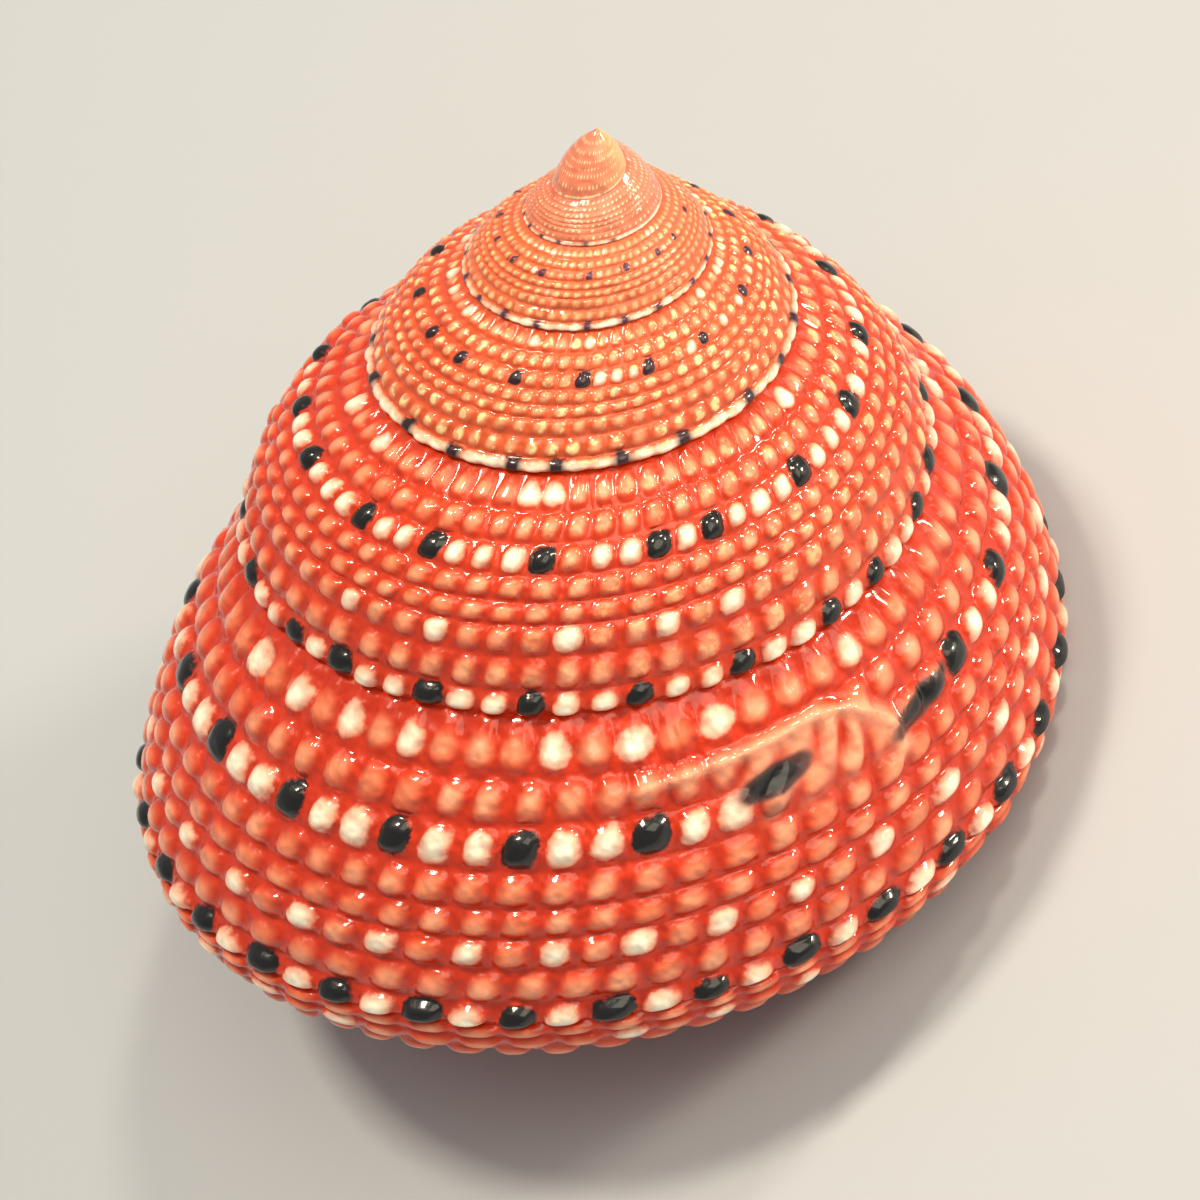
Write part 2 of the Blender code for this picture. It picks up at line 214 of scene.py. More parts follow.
def base(turn, arc):
    """Radius and height of a point of the base: two bends and then a nearly level stretch."""
    radius, height = periphery(turn)
    size = radius / FULL_RADIUS
    a0, a1, a2, a3 = BASE_ANGLES
    b1, b2 = BASE_BENDS
    arc1 = b1 * (a1 - a0)
    arc2 = arc1 + b2 * (a2 - a1)
    level = base_length() - arc2
    first = a0 + np.clip(arc, 0, arc1) / b1
    second = a1 + np.clip(arc - arc1, 0, arc2 - arc1) / b2
    way = np.clip(arc - arc2, 0, level)
    mean = a2 + (a3 - a2) * way / level / 2
    out = b1 * (np.cos(first) - math.cos(a0)) + b2 * (np.cos(second) - math.cos(a1))
    down = b1 * (np.sin(first) - math.sin(a0)) + b2 * (np.sin(second) - math.sin(a1))
    return radius + size * (out - way * np.sin(mean)), height - size * (down + way * np.cos(mean))


def edge_arc(turn):
    """Arc from the periphery down to a whorl's lower edge, on a full-sized whorl."""
    turns, arcs = EDGE_ARC.T
    return np.interp(turn, turns, arcs)


def lower_edge(turn):
    """Edge at which a whorl meets the next one."""
    return base(turn, edge_arc(turn))


def flank(turn, share):
    """Radius and height of a point of the flank: a parabola over the chord from the suture to
    the periphery."""
    r0, z0 = lower_edge(np.maximum(turn - 1, 0.0))
    r1, z1 = periphery(turn)
    dr, dz = r1 - r0, z1 - z0
    out = 4 * share * (1 - share) * np.interp(turn, *SWELLING.T)
    return r0 + share * dr - out * dz, z0 + share * dz + out * dr


def places(crests):
    """Cord coordinates of the crests and of the grooves midway between them, with their places."""
    grooves = [(a + b) / 2 for a, b in zip(crests[:-1], crests[1:])]
    both = [0.0, crests[0]]
    for groove, crest in zip(grooves, crests[1:]):
        both += [groove, crest]
    return np.concatenate(((0.0,), 0.5 * np.arange(1, len(both)))), np.array(both)


def flank_share(turn, cord):
    """Share of the flank at a cord coordinate: cord k's crest is at k + 1/2."""
    last = ease(turn, *CORDS_SETTLE)
    spire = np.interp(cord, *places(CORDS_SPIRE))
    return (1 - last) * spire + last * np.interp(cord, *places(CORDS_LAST))


def base_way(cord):
    """Way across the base, from the flank's edge (0) to the navel's rim (1)."""
    return np.interp(cord - FLANK_CORDS, *places(BASE_CORDS))


def plain(turn, cord):
    """Radius and height of the shell's outside without its relief, where the cord coordinate
    runs from the suture over the flank and the base to the navel's rim."""
    on_flank = flank(turn, flank_share(turn, np.minimum(cord, FLANK_CORDS - 0.5)))
    arc = edge_arc(turn) * np.clip(2 * (cord - FLANK_CORDS) + 1, 0, 1)
    arc = arc + base_way(np.maximum(cord, FLANK_CORDS)) * (base_length() - edge_arc(turn))
    on_base = base(turn, arc)
    below = cord > FLANK_CORDS - 0.5
    return np.where(below, on_base[0], on_flank[0]), np.where(below, on_base[1], on_flank[1])


def about_axis(turn, radius, height):
    """Points of the shell's own space, in mm, at a turn, a radius and a height."""
    bearing = -2 * math.pi * (turn - LIP / BEADS_PER_TURN)
    return np.stack((radius * np.cos(bearing), radius * np.sin(bearing), height), axis=-1)


def unit(vectors):
    """Vectors divided by their length."""
    return vectors / np.maximum(np.linalg.norm(vectors, axis=-1, keepdims=True), 1e-12)


def outwards(turn, cord):
    """Unit normals of the plain outside, from the differences over a short way each side."""
    da, dc = 0.004, 0.3
    after, before = (about_axis(t, *plain(t, cord)) for t in (turn + da, turn - da))
    below, above = (about_axis(turn, *plain(turn, c)) for c in (cord + dc, np.maximum(cord - dc, 0.0)))
    return unit(np.cross(after - before, below - above))


LAST_BEAD = LIP + 20
DRAWS = np.random.default_rng(SEED).random((CORDS, LAST_BEAD + 1, 7))  # for each cord and bead
# Wander of a cord's beads along it: two waves, each with its height in beads and waves to a turn
WANDER = ((0.2, 1.7), (0.13, 4.3))
# Beads of the spotted cord, and how far it runs ahead there
SPOTTED_DRIFT = ((325, 343, 351), (0.0, -0.9, 0.0))


def drift(number, turn):
    """Beads by which a cord's beads run ahead, or behind where it is negative. The black-spotted
    cords keep step, and the others wander."""
    phase = DRAWS[number, 0]
    long, short = (
        height * np.sin(2 * math.pi * (waves * turn + phase[..., k]))
        for k, (height, waves) in enumerate(WANDER)
    )
    read = np.interp(turn * BEADS_PER_TURN, *SPOTTED_DRIFT)
    wander = np.where(number == SPOTTED, read, long + short)
    return np.where((number == SHOULDER) | (number == PERIPHERY), 0.0, wander)


def bead_of(turn, cord):
    """Cord number, bead number, and place in the bead from -1 to 1 along and across."""
    number = np.clip(np.floor(cord).astype(int), 0, CORDS - 1)
    beads = turn * BEADS_PER_TURN * BEAD_DENSITY[number] + drift(number, turn)
    bead = np.clip(np.floor(beads + 0.5).astype(int), 0, LAST_BEAD)
    return number, bead, 2 * (beads - bead), 2 * (cord - number) - 1


def foot(turn, cord):
    """Distance from a bead's middle, where its foot is at 1. A bead is a rounded square, and
    its width, height, place and slant are a little different each time."""
    number, bead, along, across = bead_of(turn, cord)
    draw = DRAWS[number, bead]
    loose = np.where(number == 0, 2.0, 1.0)
    width = BEAD_WIDTH - WIDTH_VARIES * loose * draw[..., 0]
    height = BEAD_HEIGHT - HEIGHT_VARIES * draw[..., 1]
    x = (along - BEAD_SLANT * across - (1 - width) * (draw[..., 2] - 0.5)) / width
    y = (across - (1 - height) * (draw[..., 3] - 0.5)) / height
    power = BEAD_POWER + POWER_VARIES * draw[..., 4]
    return (np.abs(x) ** power + np.abs(y) ** power) ** (1 / power)


def joined(turn, number):
    """1 where a cord's beads run on into each other: along the periphery of the upper whorls."""
    return (number == PERIPHERY) * (1 - ease(turn, 3.7, 4.3))


def threads(turn, cord):
    """Thin slanting growth ridges, from 0 to 1, next to the suture of the larger whorls."""
    wave = np.sin(math.pi * (2.3 * turn * BEADS_PER_TURN + 0.9 * cord + np.sin(turn * 91.0)))
    near = (1 - ease(cord, 1.2, 2.0)) * ease(cord, 0.0, 0.3) * ease(turn, 3.9, 4.6)
    return wave**4 * near * (0.5 + 0.5 * np.sin(turn * 37.0 + 2 * cord))


def break_patch(turn, cord):
    """The repaired break: 1 on its smooth patch and 0 outside, the height of its raised rim
    and its slanting folds in mm, and how pale it is, from 0 to 1."""
    beads = turn * BEADS_PER_TURN
    share = flank_share(turn, np.clip(cord, 0, FLANK_CORDS))
    edge = np.array(BREAK_EDGE)
    right = np.interp(share, edge[BREAK_PEAK::-1, 1], edge[BREAK_PEAK::-1, 0])
    top = np.interp(beads, edge[BREAK_PEAK:, 0], edge[BREAK_PEAK:, 1])
    inside = np.minimum((beads - right) / BREAK_SOFT[0], (share - top) / BREAK_SOFT[1])
    patch = ease(inside, -0.12, 0.12) * (1 - ease(beads, 343.6, 345.8))
    patch = patch * (1 - ease(share, 0.38, 0.54))
    rim_fades = (1 - ease(beads, 345.5, 349.0)) * (1 - ease(share, 0.48, 0.6))
    rim = np.exp(-((inside / 0.34) ** 2)) * rim_fades * (cord < FLANK_CORDS)
    bent = 2.4 * np.sin(6 * share + 1.1 * beads)
    folds = np.sin(2 * math.pi * 1.25 * (beads - 2.8 * share) + bent)
    folds = folds * ease(inside, 0.3, 1.0) * (0.6 + 0.4 * np.sin(2.9 * beads + 7 * share))
    height = BREAK_RIM * rim + patch * (BREAK_FOLDS * folds - 0.05 + 0.05 * np.exp(-inside))
    # The last value is the patch's own salmon, with painted highlight on its fold crests and raised
    # rim
    return patch, height, np.clip(patch * (0.8 - share + 0.7 * folds) + rim, 0, 1)


def relief(turn, cord):
    """Height above the plain outside, in mm: grooves, a ridge along each cord, and its beads,
    which are rounded lumps that stand on it."""
    number, bead, along, across = bead_of(turn, cord)
    reach = foot(turn, cord)
    rise = np.array(BEAD_RISE)[number] * (RISE_LEAST + RISE_VARIES * DRAWS[number, bead, 5])
    beaded = ease(turn, 0.8, 2.0)
    run_on = 0.6 * joined(turn, number)
    ridge = 1 - np.abs(across) ** RIDGE_POWER
    top = np.clip(1 - reach ** DOME_POWERS[0], 0, 1) ** DOME_POWERS[1]
    top = top * (1 - run_on) + ridge * run_on
    look = bpy.context.scene.shell
    grown = ease(turn, 0.8, 2.6)
    height = (look.ridge * ridge * grown - look.groove) / MM
    lump = top * beaded + ridge * 0.7 * (1 - beaded)
    height = height + look.bead * rise * lump * (0.2 + 0.8 * grown)
    height = height + THREAD * threads(turn, cord)
    patch, mended, _ = break_patch(turn, cord)
    height = height * (1 - patch) + mended
    size = np.where(cord < FLANK_CORDS, plain(turn, cord)[0], periphery(turn)[0]) / FULL_RADIUS
    return size**SIZE_POWER * height


def raised(turn, cord):
    """Points of the plain outside, moved out along its normals by the relief."""
    points = about_axis(turn, *plain(turn, cord))
    return points + relief(turn, cord)[..., None] * outwards(turn, cord)


def outside(turn, cord):
    """Points of the shell's outside. The first half cord is drawn to the lower edge of the
    whorl before, so that the suture is closed."""
    edge = np.full_like(cord, FLANK_CORDS)
    before = raised(np.maximum(turn - 1, 0.0), edge)
    gap = before - raised(turn, np.zeros_like(cord))
    return raised(turn, cord) + (np.clip(1 - cord / 0.5, 0, 1) ** 2)[..., None] * gap


def rotation(degrees, axis):
    """Matrix of a turn about X, Y or Z."""
    return np.array(Matrix.Rotation(math.radians(degrees), 3, axis))


def rest_turn():
    """Rotation from the shell's own space, tip up, to the way it lies."""
    leant = rotation(REST_BEARING, "Z") @ rotation(REST_LEAN, "Y") @ rotation(-REST_BEARING, "Z")
    return rotation(FRONT_TURN, "Z") @ leant


def solid_points():
    """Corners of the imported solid, in mm."""
    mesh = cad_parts["shell"].data
    points = np.zeros(len(mesh.vertices) * 3, np.float32)
    mesh.vertices.foreach_get("co", points)
    return points.reshape(-1, 3).astype(float) / MM


def tip_place():
    """The tip is the solid's furthest point along the shell's own axis."""
    points = solid_points()
    return points[np.argmax(points @ rest_turn()[:, 2])]


TIP = tip_place()


def at_rest(points):
    """Points as the shell lies, in metres, none below the surface that it lies on."""
    placed = points @ rest_turn().T + TIP
    placed[..., 2] = np.maximum(placed[..., 2], 0.0)
    return placed * MM


def add_grid(name, points, attributes):
    """An object from a grid of points (rows, columns, 3) with attributes on its points. Faces
    look along the cross product of the way along a row and the way down a column."""
    rows, columns = points.shape[:2]
    index = np.arange(rows * columns).reshape(rows, columns)
    corners = (index[:-1, :-1], index[:-1, 1:], index[1:, 1:], index[1:, :-1])
    faces = np.stack(corners, axis=-1).reshape(-1, 4)
    mesh = bpy.data.meshes.new(name)
    mesh.vertices.add(rows * columns)
    mesh.vertices.foreach_set("co", at_rest(points).astype(np.float32).ravel())
    mesh.loops.add(faces.size)
    mesh.loops.foreach_set("vertex_index", faces.ravel())
    mesh.polygons.add(len(faces))
    mesh.polygons.foreach_set("loop_start", 4 * np.arange(len(faces)))
    mesh.update(calc_edges=True)
    for attribute, values in attributes.items():
        layer = mesh.attributes.new(attribute, "FLOAT", "POINT")
        grid = np.broadcast_to(values, (rows, columns))
        layer.data.foreach_set("value", grid.astype(np.float32).ravel())
    mesh.validate()
    mesh.shade_smooth()
    piece = bpy.data.objects.new(name, mesh)
    bpy.context.scene.collection.objects.link(piece)
    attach(piece, "root")
    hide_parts("shell")
    return piece


def spread(low, high, per_unit):
    """Evenly spaced numbers from low to high, about so many to the unit."""
    return np.linspace(low, high, max(2, round((high - low) * per_unit) + 1))


def carried_on(read, gap):
    """The bead numbers that were read, and in the stretches that don't show, one about every
    gap beads."""
    beads = [np.array(read)]
    for before, after in zip(read[:-1], read[1:]):
        count = round((after - before) / gap)
        if after - before > 1.9 * gap:
            beads.append(np.linspace(before, after, count + 1)[1:-1].round().astype(int))
    return np.concatenate(beads)


def bead_marks():
    """Which beads are black and which are pale, for each cord and bead number."""
    draw = DRAWS[..., 6]
    cord = np.arange(CORDS)[:, None]
    bead = np.arange(LAST_BEAD + 1)[None, :]
    black = np.zeros(draw.shape, bool)
    black[SHOULDER, carried_on(BLACK_SHOULDER, 4)] = True
    black[PERIPHERY, carried_on(BLACK_PERIPHERY, 3)] = True
    spotted_base = (cord >= 11) & (cord % 2 == 1) & (cord < CORDS - 1)
    black |= spotted_base & ((bead + cord) % 3 == 0)
    pale = (cord == SHOULDER) & (draw < np.where(bead > PALE_FROM, 0.93, 0.2))
    pale = pale | (cord == PERIPHERY) | (spotted_base & (draw < 0.9)) | (cord == CORDS - 1)
    pale = pale | ((cord == 9) & (bead % 2 == 0) & (draw < 0.8))
    shown = np.logical_or.reduce([(bead > first) & (bead < last) for first, last in SHOWN])
    pale = pale | (cord == 0) & (draw < 0.16) & ~shown
    pale = pale | (cord == SPOTTED) & (bead % 2 == 1) & (draw < 0.7) & (bead > PALE_FROM) & ~shown
    pale[0, list(PALE_FIRST)] = True
    pale[SPOTTED, list(PALE_SPOTTED)] = True
    pale[SHOULDER, BREAK_BEADS] = False
    return black, pale & ~black


BLACK, PALE = bead_marks()


def break_marks(turn, cord):
    """The smeared black marks beside the break, from 0 to 1: slanting ovals."""
    beads = turn * BEADS_PER_TURN
    share = flank_share(turn, np.clip(cord, 0, FLANK_CORDS))
    smear = np.zeros_like(turn)
    for bead, middle, length, height in BREAK_MARKS:
        x, y = beads - bead, share - middle
        smear = np.maximum(smear, 1.6 - np.hypot(x / length, (y - 0.02 * x) / height))
    return smear


def marks(turn, cord):
    """Attributes of the outside that its colours follow."""
    number, bead, along, across = bead_of(turn, cord)
    run_on = 0.75 * joined(turn, number)
    patch, _, mended = break_patch(turn, cord)
    reach = np.where(number == 0, np.hypot(0.95 * along, 1.4 * across), foot(turn, cord))
    return {
        "foot": reach * (1 - run_on) + np.abs(across) * run_on,
        "black": BLACK[number, bead] * (1 - run_on * ease(np.abs(along), 0.5, 0.9)),
        "pale": np.maximum(PALE[number, bead], run_on > 0.4),
        "tint": DRAWS[number, bead, 0],
        "turn": turn,
        "beads": turn * BEADS_PER_TURN,
        "cord": cord,
        "patch": patch,
        # Paleness of the mended patch: its own salmon, with painted highlight on its fold crests and
        # raised rim
        "mended": mended,
        "smear": break_marks(turn, cord),
    }


POINTS_PER_CORD, BASE_POINTS_PER_CORD = 10, 8
TUCK = 0.3  # mm by which a whorl's first row is tucked in under the whorl before
# Whorl pieces: name, first and last bead, and points to the bead
WHORLS = (
    ("whorls_early", 0.0, 187.5, 3),
    ("whorl_third", 187.5, 250.5, 7),
    ("whorl_upper", 250.5, 312.5, 12),
    ("whorl_last", 312.5, None, 12),
)
BASE_POINTS_PER_BEAD = 12


def lip_end(cord):
    """Turn at which the shell ends, along its leaning lip."""
    way = np.where(cord < FLANK_CORDS, flank_share(LIP / BEADS_PER_TURN, cord), 1 + base_way(cord))
    return (LIP + np.interp(way, (0, 1, 2), LIP_LEAN)) / BEADS_PER_TURN


def base_start(cord):
    """Turn at which the base comes out from under the last whorl."""
    beads = LAST_WHORL + LIP_LEAN[0] + (LIP_LEAN[2] - LIP_LEAN[0]) * base_way(cord)
    return beads / BEADS_PER_TURN


def whorl(name, first, last, per_bead):
    """The flank of some whorls. A last row is tucked in under the whorl before."""
    cord = spread(0, FLANK_CORDS, POINTS_PER_CORD)[:, None]
    start = first / BEADS_PER_TURN
    end = lip_end(cord) if last is None else last / BEADS_PER_TURN
    columns = spread(0, 1, ((last or LIP) - first) * per_bead)[None, :]
    turn, cord = np.broadcast_arrays(start + (end - start) * columns, cord)
    points = outside(turn, cord)
    inwards = outwards(np.maximum(turn[:1] - 1, 0.0), np.full_like(cord[:1], FLANK_CORDS))
    tucked = points[:1] - TUCK * inwards * (turn[:1, :, None] / turn.max()) ** 2
    rows = {key: np.concatenate((value[:1], value)) for key, value in marks(turn, cord).items()}
    return add_grid(name, np.concatenate((tucked, points)), rows)


def base_grid():
    """Turns and cord coordinates of the base's points."""
    cord = spread(FLANK_CORDS, RIM, BASE_POINTS_PER_CORD)[:, None]
    start, end = base_start(cord), lip_end(cord)
    shown = LIP - LAST_WHORL - LIP_LEAN[0]
    columns = spread(0, 1, shown * BASE_POINTS_PER_BEAD)
    return np.broadcast_arrays(start + (end - start) * columns, cord)


# Beads at which the navel's rim ends at the lip, starts its last turn, and leaves the axis
RIM_END = LIP + LIP_LEAN[2]
RIM_START = RIM_END - BEADS_PER_TURN
AXIS_START = RIM_START - BEADS_PER_TURN


def rim_before(beads):
    """Points of the navel's rim one turn before its last, where it widens from a point on the
    axis, and joins the last turn's beaded rim."""
    turn = beads / BEADS_PER_TURN
    radius, height = base(turn, base_length())
    points = about_axis(turn, radius * ease(beads, AXIS_START, AXIS_START + NAVEL_OPENS), height)
    joint = np.array(((RIM_START / BEADS_PER_TURN,),)), np.array(((RIM,),))
    relief_there = outside(*joint)[0] - about_axis(joint[0], *plain(*joint))[0]
    return points + ease(beads, RIM_START - RIM_JOIN, RIM_START)[..., None] * relief_there


def navel_grid():
    """Points of the navel's wall: from the rim up to the rim one turn before in a line that
    bulges towards the axis, and on to the point on the axis where the navel ends."""
    turn, cord = (part[-1:] for part in base_grid())
    beads = turn[0] * BEADS_PER_TURN
    first = outside(turn, cord)
    second = rim_before(beads - BEADS_PER_TURN)[None]
    share = np.linspace(0, 1, COLUMN_POINTS)[:, None, None]
    wall = first + (second - first) * share
    narrow = np.linalg.norm(wall[..., :2], axis=-1, keepdims=True)
    level = np.concatenate((wall[..., :2], np.zeros_like(narrow)), axis=-1)
    way_in = level / np.maximum(narrow, 1e-9)
    bulge = 4 * share * (1 - share) * np.minimum(NAVEL_BULGE, NAVEL_BULGE_SHARE * narrow)
    wall = wall - bulge * way_in
    end = rim_before(np.array((float(AXIS_START),)))[None]
    ceiling = second + (end - second) * np.linspace(0, 1, CEILING_POINTS)[1:, None, None]
    return np.concatenate((wall, ceiling))


def mouth_ring():
    """The mouth's outline: turns and cord coordinates, its points on the outside, and the part
    each is on: 0 for the outer lip, 1 for the column and 2 for the whorl before."""
    flank_part = spread(0, FLANK_CORDS, POINTS_PER_CORD)
    base_turn, base_cord = base_grid()
    lip_cord = np.concatenate((flank_part, base_cord[1:, 0]))
    column = navel_grid()[1 : COLUMN_POINTS - 1, -1]
    wall_turn, wall_cord = base_turn[::-1, 0], base_cord[::-1, 0]
    lip_turn, column_turn = lip_end(lip_cord), np.full(len(column), RIM_END / BEADS_PER_TURN)
    turn = np.concatenate((lip_turn, column_turn, wall_turn))
    cord = np.concatenate((lip_cord, np.full(len(column), RIM), wall_cord))
    points = outside(lip_turn, lip_cord), column, outside(wall_turn, wall_cord)
    points = np.concatenate(points)
    part = np.repeat((0, 1, 2), (len(lip_cord), len(column), len(wall_cord)))
    return turn, cord, points, part


def hollow_places():
    """Distances behind the lip, in turns, and widths of the hollow, with rows between."""
    place = np.linspace(0, len(HOLLOW) - 1, (len(HOLLOW) - 1) * HOLLOW_ROWS + 1)
    knots = np.arange(len(HOLLOW))
    return smooth(place, knots, HOLLOW[:, 0]), np.clip(smooth(place, knots, HOLLOW[:, 1]), 0, 1)


def mouth_grid():
    """Points of the mouth's lining, and its attributes: the outline is carried back into the
    shell, drawn in towards its middle by the hollow's width, with ridges behind the outer lip
    and a tooth on the column."""
    turn, cord, ring, part = (each[:, None] for each in mouth_ring())
    back, width = (each[None, :] for each in hollow_places())
    back = np.maximum(back, 0)
    behind = turn - back
    radius, height = plain(behind, cord)
    on_column = np.cumsum(part == 1) / (part == 1).sum()
    on_column = np.where(part[:, 0] == 1, on_column, part[:, 0] == 2)[:, None]
    older = plain(behind - 1, cord)
    radius = np.where(part == 1, radius + on_column * (older[0] - radius), radius)
    height = np.where(part == 1, height + on_column * (older[1] - height), height)
    step = np.hypot(*(np.diff(way, axis=0, append=way[:1]) for way in (radius, height)))
    weight = step / step.sum(axis=0)
    middle = (radius * weight).sum(axis=0), (height * weight).sum(axis=0)
    around = np.cumsum(weight, axis=0)[:, :1]
    outer_lip = ease(around, *TEETH_RISE) * (1 - ease(around, *TEETH_FADE))
    ridges = np.sin(math.pi * (TEETH * around / TEETH_SPAN + 0.5)) ** 4 * outer_lip
    depth = ease(back, 0.003, 0.012) * (1 - ease(back, 0.05, 0.12))
    tooth = np.exp(-(((on_column - TOOTH_AT) / TOOTH_SPREAD) ** 2)) * (part == 1)
    folds = FOLD_HEIGHT * np.sin(on_column * FOLD_WAVES) ** 2 * (part == 1)
    tooth_depth = ease(back, 0.002, 0.012) * (1 - ease(back, 0.04, 0.1))
    inner_lip = (TOOTH_HEIGHT * tooth + folds) * tooth_depth * (width > 0.5)
    width = width - TEETH_HEIGHT * ridges * depth - inner_lip
    drawn_in = (mean + width * (way - mean) for mean, way in zip(middle, (radius, height)))
    plain_points = about_axis(behind, *drawn_in)
    fade = np.where(part == 2, 1 - ease(back, 0.01, 0.06), 1 - ease(back, 0.0, 0.012))
    offset = ring[:, 0] - plain_points[:, 0]
    points = plain_points + fade[..., None] * offset[:, None]
    number, bead, _, _ = bead_of(np.broadcast_to(turn, cord.shape), cord)
    attributes = {
        "behind": np.broadcast_to(back, points.shape[:2]),
        "ridges": ridges * depth,
        "whorl_before": part == 2,
        "black": BLACK[number, bead] & (part == 0),
        "pale": PALE[number, bead] & (part == 0) | (part == 1),
        "beads": behind * BEADS_PER_TURN,
        "cord": cord,
    }
    return points, attributes


def colour(r, g, b):
    """A colour given as it looks on a screen, from 0 to 255, for a socket."""
    linear = [((c / 255 + 0.055) / 1.055) ** 2.4 if c > 10 else c / 255 / 12.92 for c in (r, g, b)]
    return (*linear, 1.0)


def length(name, description, default):
    """A setting that is a length."""
    return FloatProperty(
        name=name, description=description, default=default, min=0, unit="LENGTH", precision=5
    )


def paint(name, description, default):
    """A setting that is a colour."""
    return FloatVectorProperty(
        name=name, description=description, default=default, size=4, subtype="COLOR"
    )


def factor(name, description, **limits):
    """A setting that multiplies, 1 by default."""
    return FloatProperty(name=name, description=description, default=1.0, **limits)


class ShellLook(bpy.types.PropertyGroup):
    """Sizes and colours that a user would change"""

    groove: length("Groove", "Depth of the grooves between the cords of a full-sized whorl", 0.26 * MM)
    ridge: length("Ridge", "Height of a cord's ridge above its grooves, under its beads", 0.06 * MM)
    bead: factor("Beads", "Height of the beads, where 1 is as built", subtype="FACTOR")
    bead_colour: paint("Beads", "Colour of the red beads' tops", colour(226, 92, 40))
    # Darker and deeper red than the beads' tops: painted shade in the grooves
    groove_shade_colour: paint("Grooves", "Colour between the beads", colour(206, 48, 4))
    pale_colour: paint("White beads", "Colour of the white beads' tops", colour(255, 246, 222))
    black_colour: paint("Black beads", "Colour of the black beads", colour(12, 13, 14))
    floor_colour: paint("Floor", "Colour of the floor", (0.46, 0.48, 0.52, 1.0))
    light: factor("Light", "Power of the lamps, where 1 is as set", min=0)


class SHELL_OT_whorls(bpy.types.Operator):
    """Build the flank of every whorl with its beaded cords"""

    bl_idname = "shell.whorls"
    bl_label = "Whorls"

    def execute(self, context):
        for row in WHORLS:
            finish_outside(whorl(*row))
        return {"FINISHED"}


class SHELL_OT_base(bpy.types.Operator):
    """Build the base of the last whorl with its beaded cords"""

    bl_idname = "shell.base"
    bl_label = "Base"

    def execute(self, context):
        turn, cord = base_grid()
        finish_outside(add_grid("base", outside(turn, cord), marks(turn, cord)))
        return {"FINISHED"}


class SHELL_OT_navel(bpy.types.Operator):
    """Build the wall of the navel"""

    bl_idname = "shell.navel"
    bl_label = "Navel"

    def execute(self, context):
        points = navel_grid()
        deep = np.linspace(0, 1, len(points))[:, None]
        piece = add_grid("navel", points, {"deep": deep})
        piece.data.materials.append(navel_finish())
        return {"FINISHED"}


class SHELL_OT_mouth(bpy.types.Operator):
    """Build the lip and the lining of the hollow behind it"""

    bl_idname = "shell.mouth"
    bl_label = "Mouth"

    def execute(self, context):
        piece = add_grid("mouth", *mouth_grid())
        piece.data.materials.append(mouth_finish())
        return {"FINISHED"}


class Value:
    """A socket on which Python's operators add Math nodes."""

    def __init__(self, tree, socket):
        self.tree = tree
        self.socket = socket

    def math(self, operation, *values):
        """A Math node's result from numbers or sockets."""
        node = self.tree.nodes.new("ShaderNodeMath")
        node.operation = operation
        for place, value in zip(node.inputs, values):
            if isinstance(value, Value):
                self.tree.links.new(value.socket, place)
            else:
                place.default_value = value
        return Value(self.tree, node.outputs[0])

    def __add__(self, other):
        return self.math("ADD", self, other)

    __radd__ = __add__

    def __sub__(self, other):
        return self.math("SUBTRACT", self, other)

    def __rsub__(self, other):
        return self.math("SUBTRACT", other, self)

    def __mul__(self, other):
        return self.math("MULTIPLY", self, other)

    __rmul__ = __mul__

    def step(self, low, high):
        """0 below low and 1 above high, smoothly between."""
        node = self.tree.nodes.new("ShaderNodeMapRange")
        node.interpolation_type = "SMOOTHSTEP"
        self.tree.links.new(self.socket, node.inputs["Value"])
        node.inputs["From Min"].default_value = low
        node.inputs["From Max"].default_value = high
        return Value(self.tree, node.outputs["Result"])


class Finish:
    """A material and the nodes that make it."""

    def __init__(self, name):
        self.material = bpy.data.materials.new(name)
        self.material.use_nodes = True
        self.tree = self.material.node_tree
        self.shader = self.tree.nodes["Principled BSDF"]

    def node(self, kind, settings=None, **inputs):
        """A node of any type: its settings come first, then its sockets' values or links."""
        node = self.tree.nodes.new(kind)
        for key, value in (settings or {}).items():
            setattr(node, key, value)
        for key, value in inputs.items():
            self.feed(node.inputs[key.replace("_", " ")], value)
        return node

    def feed(self, socket, value):
        """Link a socket, or set it to a number or a colour."""
        if isinstance(value, Value):
            self.tree.links.new(value.socket, socket)
        elif isinstance(value, bpy.types.NodeSocket):
            self.tree.links.new(value, socket)
        else:
            socket.default_value = value

    def value(self, socket):
        """A socket of this material, ready to be reckoned with."""
        return Value(self.tree, socket)

    def attribute(self, name):
        """One of the mesh's attributes."""
        return self.value(self.node("ShaderNodeAttribute", {"attribute_name": name}).outputs["Fac"])

    def noise(self, scale, detail=2.0):
        """Noise in the object's own space, so many grains to the metre."""
        where = self.node("ShaderNodeTexCoord").outputs["Object"]
        node = self.node("ShaderNodeTexNoise", None, Vector=where, Scale=scale, Detail=detail)
        return self.value(node.outputs["Fac"])

    def streaks(self, along, across):
        """Noise drawn out along the growth lines, as many grains to the bead and to the cord."""
        x, y = self.attribute("beads") * along, self.attribute("cord") * across
        place = self.node("ShaderNodeCombineXYZ", None, X=x, Y=y).outputs["Vector"]
        node = self.node("ShaderNodeTexNoise", None, Vector=place, Scale=1.0, Detail=2.0)
        return self.value(node.outputs["Fac"])

    def mix(self, share, low, high):
        """Colour between two colours."""
        node = self.node("ShaderNodeMix", {"data_type": "RGBA"})
        self.feed(node.inputs[0], share)
        self.feed(node.inputs[6], low)
        self.feed(node.inputs[7], high)
        return node.outputs[2]


